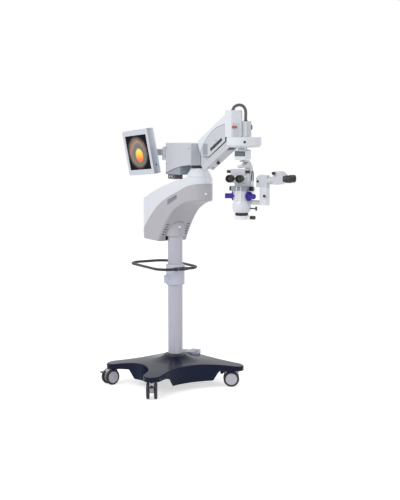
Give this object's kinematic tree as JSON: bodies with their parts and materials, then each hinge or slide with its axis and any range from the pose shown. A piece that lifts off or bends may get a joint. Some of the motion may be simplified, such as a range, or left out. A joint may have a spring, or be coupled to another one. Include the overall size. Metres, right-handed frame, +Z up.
{
  "type": "surgical microscope",
  "caption": "Ophthalmic operating microscope on a wheeled floor stand: column with swan-neck housing, balanced arm, monitor, and a suspended binocular microscope with an assistant's scope.",
  "frame": {"origin": "on the floor, on the column's axis", "axes": "+Z up, -Y the way the swan neck and the arm point at rest, +X to the right seen from behind the column"},
  "size_m": [0.831, 1.5341, 1.8587],
  "materials": {
    "black_plastic": "satin",
    "black_rubber": "satin",
    "casting": "satin",
    "electronics": "satin",
    "grey_shell": "satin",
    "navy": "satin",
    "orange": "satin",
    "screen": "satin",
    "silver": "satin",
    "steel": "satin",
    "steel_part": "satin",
    "tyre": "satin",
    "violet": "satin",
    "white_shell": "satin"
  },
  "bodies": {
    "stand": {"base_cover": "navy", "base_frame": "steel", "connector_box": "white_shell", "column_tube": "silver", "handle_ring": "black_plastic", "handle_clamp": "white_shell", "neck_upper_cover": "white_shell", "neck_lower_cover": "grey_shell", "column_sleeve": "grey_shell", "neck_frame": "casting", "bearing_cover": "white_shell", "power_supply": "electronics"},
    "caster_front_left_fork": {"caster_front_left_fork": "casting"},
    "caster_front_left_wheels": {"caster_front_left_wheels": "tyre"},
    "caster_front_left_brake": {"caster_front_left_brake": "black_plastic"},
    "caster_front_right_fork": {"caster_front_right_fork": "casting"},
    "caster_front_right_wheels": {"caster_front_right_wheels": "tyre"},
    "caster_front_right_brake": {"caster_front_right_brake": "black_plastic"},
    "caster_rear_right_fork": {"caster_rear_right_fork": "casting"},
    "caster_rear_right_wheels": {"caster_rear_right_wheels": "tyre"},
    "caster_rear_right_brake": {"caster_rear_right_brake": "black_plastic"},
    "caster_rear_left_fork": {"caster_rear_left_fork": "casting"},
    "caster_rear_left_wheels": {"caster_rear_left_wheels": "tyre"},
    "caster_rear_left_brake": {"caster_rear_left_brake": "black_plastic"},
    "carriage": {"carriage_frame": "casting", "carriage_cover": "white_shell", "light_source": "electronics"},
    "monitor_arm": {"monitor_arm": "casting"},
    "monitor": {"monitor_case": "white_shell", "monitor_panel": "screen"},
    "spring_arm": {"arm_beam": "steel_part", "arm_gas_spring": "steel_part", "arm_cover": "white_shell"},
    "lower_link": {"lower_link": "casting"},
    "arm_head": {"head_housing": "white_shell", "lamp_box": "white_shell", "light_hose": "black_rubber", "positioner_housing": "white_shell"},
    "release_lever": {"release_lever": "orange"},
    "reset_button": {"reset_button": "black_plastic"},
    "cross_slide": {"cross_slide": "steel_part"},
    "long_slide": {"long_slide": "steel_part"},
    "display_block": {"display_block": "white_shell"},
    "suspension_arm": {"suspension_arm": "casting"},
    "microscope": {"microscope_body": "white_shell", "zoom_optics": "casting", "objective": "black_plastic", "assistant_housing": "casting"},
    "hand_knob_right": {"hand_knob_right": "violet"},
    "hand_knob_left": {"hand_knob_left": "violet"},
    "focus_knobs": {"focus_knobs": "black_plastic"},
    "filter_lever": {"filter_lever": "black_plastic"},
    "accessory_ring": {"accessory_ring": "casting"},
    "ring_clamp_knob": {"ring_clamp_knob": "black_plastic"},
    "binocular_tube": {"binocular_tube": "casting"},
    "spacing_knob": {"spacing_knob": "black_plastic"},
    "eyepiece_right": {"eyepiece_right": "black_plastic"},
    "eyepiece_left": {"eyepiece_left": "black_plastic"},
    "assistant_head": {"assistant_head": "casting"},
    "assistant_binocular": {"assistant_binocular": "black_plastic"}
  },
  "joints": [
    {"name": "caster_front_left_swivel", "type": "hinge", "parent": "stand", "child": "caster_front_left_fork", "pos_m": [-0.31561, -0.26483, 0.12], "axis": [0, 0, 1], "continuous": true},
    {"name": "caster_front_left_roll", "type": "hinge", "parent": "caster_front_left_fork", "child": "caster_front_left_wheels", "pos_m": [-0.33161, -0.29254, 0.0525], "axis": [0.866, -0.5, 0], "continuous": true},
    {"name": "caster_front_left_brake_press", "type": "hinge", "parent": "caster_front_left_fork", "child": "caster_front_left_brake", "pos_m": [-0.34861, -0.32199, 0.088], "axis": [0.866, -0.5, 0], "range_deg": [0, 10]},
    {"name": "caster_front_right_swivel", "type": "hinge", "parent": "stand", "child": "caster_front_right_fork", "pos_m": [0.31561, -0.26483, 0.12], "axis": [0, 0, 1], "continuous": true},
    {"name": "caster_front_right_roll", "type": "hinge", "parent": "caster_front_right_fork", "child": "caster_front_right_wheels", "pos_m": [0.2879, -0.24883, 0.0525], "axis": [-0.5, -0.866, 0], "continuous": true},
    {"name": "caster_front_right_brake_press", "type": "hinge", "parent": "caster_front_right_fork", "child": "caster_front_right_brake", "pos_m": [0.25845, -0.23183, 0.088], "axis": [-0.5, -0.866, 0], "range_deg": [0, 10]},
    {"name": "caster_rear_right_swivel", "type": "hinge", "parent": "stand", "child": "caster_rear_right_fork", "pos_m": [0.23631, 0.33749, 0.12], "axis": [0, 0, 1], "continuous": true},
    {"name": "caster_rear_right_roll", "type": "hinge", "parent": "caster_rear_right_fork", "child": "caster_rear_right_wheels", "pos_m": [0.26403, 0.32149, 0.0525], "axis": [0.5, 0.866, 0], "continuous": true},
    {"name": "caster_rear_right_brake_press", "type": "hinge", "parent": "caster_rear_right_fork", "child": "caster_rear_right_brake", "pos_m": [0.29347, 0.30449, 0.088], "axis": [0.5, 0.866, 0], "range_deg": [0, 10]},
    {"name": "caster_rear_left_swivel", "type": "hinge", "parent": "stand", "child": "caster_rear_left_fork", "pos_m": [-0.3568, 0.206, 0.12], "axis": [0, 0, 1], "continuous": true},
    {"name": "caster_rear_left_roll", "type": "hinge", "parent": "caster_rear_left_fork", "child": "caster_rear_left_wheels", "pos_m": [-0.38832, 0.20044, 0.0525], "axis": [0.1736, -0.9848, 0], "continuous": true},
    {"name": "caster_rear_left_brake_press", "type": "hinge", "parent": "caster_rear_left_fork", "child": "caster_rear_left_brake", "pos_m": [-0.4218, 0.19454, 0.088], "axis": [0.1736, -0.9848, 0], "range_deg": [0, 10]},
    {"name": "carriage_swivel", "type": "hinge", "parent": "stand", "child": "carriage", "pos_m": [0, -0.317, 1.4], "axis": [0, 0, 1], "range_deg": [-120, 120]},
    {"name": "monitor_swivel", "type": "hinge", "parent": "carriage", "child": "monitor_arm", "pos_m": [-0.058, 0.034, 1.552], "axis": [0, 0, 1], "range_deg": [-25, 25]},
    {"name": "monitor_tilt", "type": "hinge", "parent": "monitor_arm", "child": "monitor", "pos_m": [-0.0995, 0.196, 1.552], "axis": [0, 1, 0], "range_deg": [-10, 10]},
    {"name": "arm_lift", "type": "hinge", "parent": "carriage", "child": "spring_arm", "pos_m": [0, -0.446, 1.585], "axis": [-1, 0, 0], "range_deg": [-35, 5]},
    {"name": "lower_link_turn", "type": "hinge", "parent": "carriage", "child": "lower_link", "pos_m": [0, -0.436, 1.473], "axis": [-1, 0, 0], "range_deg": [-35, 5]},
    {"name": "head_level", "type": "hinge", "parent": "spring_arm", "child": "arm_head", "pos_m": [0, -0.73093, 1.72799], "axis": [-1, 0, 0], "range_deg": [-5, 35]},
    {"name": "release_lever_turn", "type": "hinge", "parent": "arm_head", "child": "release_lever", "pos_m": [-0.012, -0.767, 1.718], "axis": [0, 1, 0], "range_deg": [0, 90]},
    {"name": "reset_button_press", "type": "slide", "parent": "arm_head", "child": "reset_button", "axis": [0.5, 0.866, 0], "range_m": [0, 0.0025], "stiffness_N_per_m": 400},
    {"name": "shift_lengthways", "type": "slide", "parent": "arm_head", "child": "cross_slide", "axis": [0, 1, 0], "range_m": [-0.015, 0.015]},
    {"name": "shift_sideways", "type": "slide", "parent": "cross_slide", "child": "long_slide", "axis": [1, 0, 0], "range_m": [-0.015, 0.015]},
    {"name": "microscope_swivel", "type": "hinge", "parent": "long_slide", "child": "display_block", "pos_m": [0, -0.834, 1.57], "axis": [0, 0, 1], "range_deg": [-160, 160]},
    {"name": "focus", "type": "slide", "parent": "display_block", "child": "suspension_arm", "axis": [0, 0, 1], "range_m": [-0.02, 0.003]},
    {"name": "microscope_tilt", "type": "hinge", "parent": "suspension_arm", "child": "microscope", "pos_m": [0.09502, -0.76746, 1.345], "axis": [0.5736, -0.8192, 0], "range_deg": [0, 12]},
    {"name": "hand_knob_right_turn", "type": "hinge", "parent": "microscope", "child": "hand_knob_right", "pos_m": [0, -0.834, 1.313], "axis": [0.1736, -0.9848, 0], "range_deg": [-150, 150]},
    {"name": "hand_knob_left_turn", "type": "hinge", "parent": "microscope", "child": "hand_knob_left", "pos_m": [0, -0.834, 1.313], "axis": [-0.866, 0.5, 0], "range_deg": [-150, 150]},
    {"name": "focus_knobs_turn", "type": "hinge", "parent": "microscope", "child": "focus_knobs", "pos_m": [-0.00819, -0.83974, 1.356], "axis": [0.5736, -0.8192, 0], "continuous": true},
    {"name": "filter_lever_turn", "type": "hinge", "parent": "microscope", "child": "filter_lever", "pos_m": [0.04622, -0.91395, 1.24], "axis": [0.5736, -0.8192, 0], "range_deg": [-90, 90]},
    {"name": "accessory_ring_turn", "type": "hinge", "parent": "microscope", "child": "accessory_ring", "pos_m": [-0.00819, -0.83974, 1.19], "axis": [0, 0, 1], "range_deg": [-60, 60]},
    {"name": "ring_clamp_knob_turn", "type": "hinge", "parent": "accessory_ring", "child": "ring_clamp_knob", "pos_m": [0.03196, -0.89708, 1.1857], "axis": [0.5736, -0.8192, 0], "range_deg": [-180, 180]},
    {"name": "binocular_turn", "type": "hinge", "parent": "microscope", "child": "binocular_tube", "pos_m": [-0.00819, -0.83974, 1.38], "axis": [0, 0, 1], "range_deg": [-20, 20]},
    {"name": "spacing_knob_turn", "type": "hinge", "parent": "binocular_tube", "child": "spacing_knob", "pos_m": [-0.05079, -0.86956, 1.458], "axis": [0.5736, -0.8192, 0], "range_deg": [-180, 180]},
    {"name": "eyepiece_right_spacing", "type": "slide", "parent": "binocular_tube", "child": "eyepiece_right", "axis": [0.5736, -0.8192, 0], "range_m": [-0.006, 0.006]},
    {"name": "eyepiece_left_spacing", "type": "slide", "parent": "binocular_tube", "child": "eyepiece_left", "axis": [-0.5736, 0.8192, 0], "range_m": [-0.006, 0.006]},
    {"name": "assistant_head_turn", "type": "hinge", "parent": "microscope", "child": "assistant_head", "pos_m": [0.08145, -0.95032, 1.368], "axis": [0, 0, 1], "range_deg": [-25, 25]},
    {"name": "assistant_binocular_turn", "type": "hinge", "parent": "assistant_head", "child": "assistant_binocular", "pos_m": [0.10898, -0.98964, 1.407], "axis": [0.5736, -0.8192, 0], "range_deg": [-90, 90]}
  ],
  "couplings": [
    {"joint": "lower_link_turn", "follows": "arm_lift", "ratio": 1},
    {"joint": "head_level", "follows": "arm_lift", "ratio": -1},
    {"joint": "hand_knob_left_turn", "follows": "hand_knob_right_turn", "ratio": -1},
    {"joint": "eyepiece_left_spacing", "follows": "eyepiece_right_spacing", "ratio": 1},
    {"joint": "spacing_knob_turn", "follows": "eyepiece_right_spacing", "rad_per_m": 523}
  ]
}
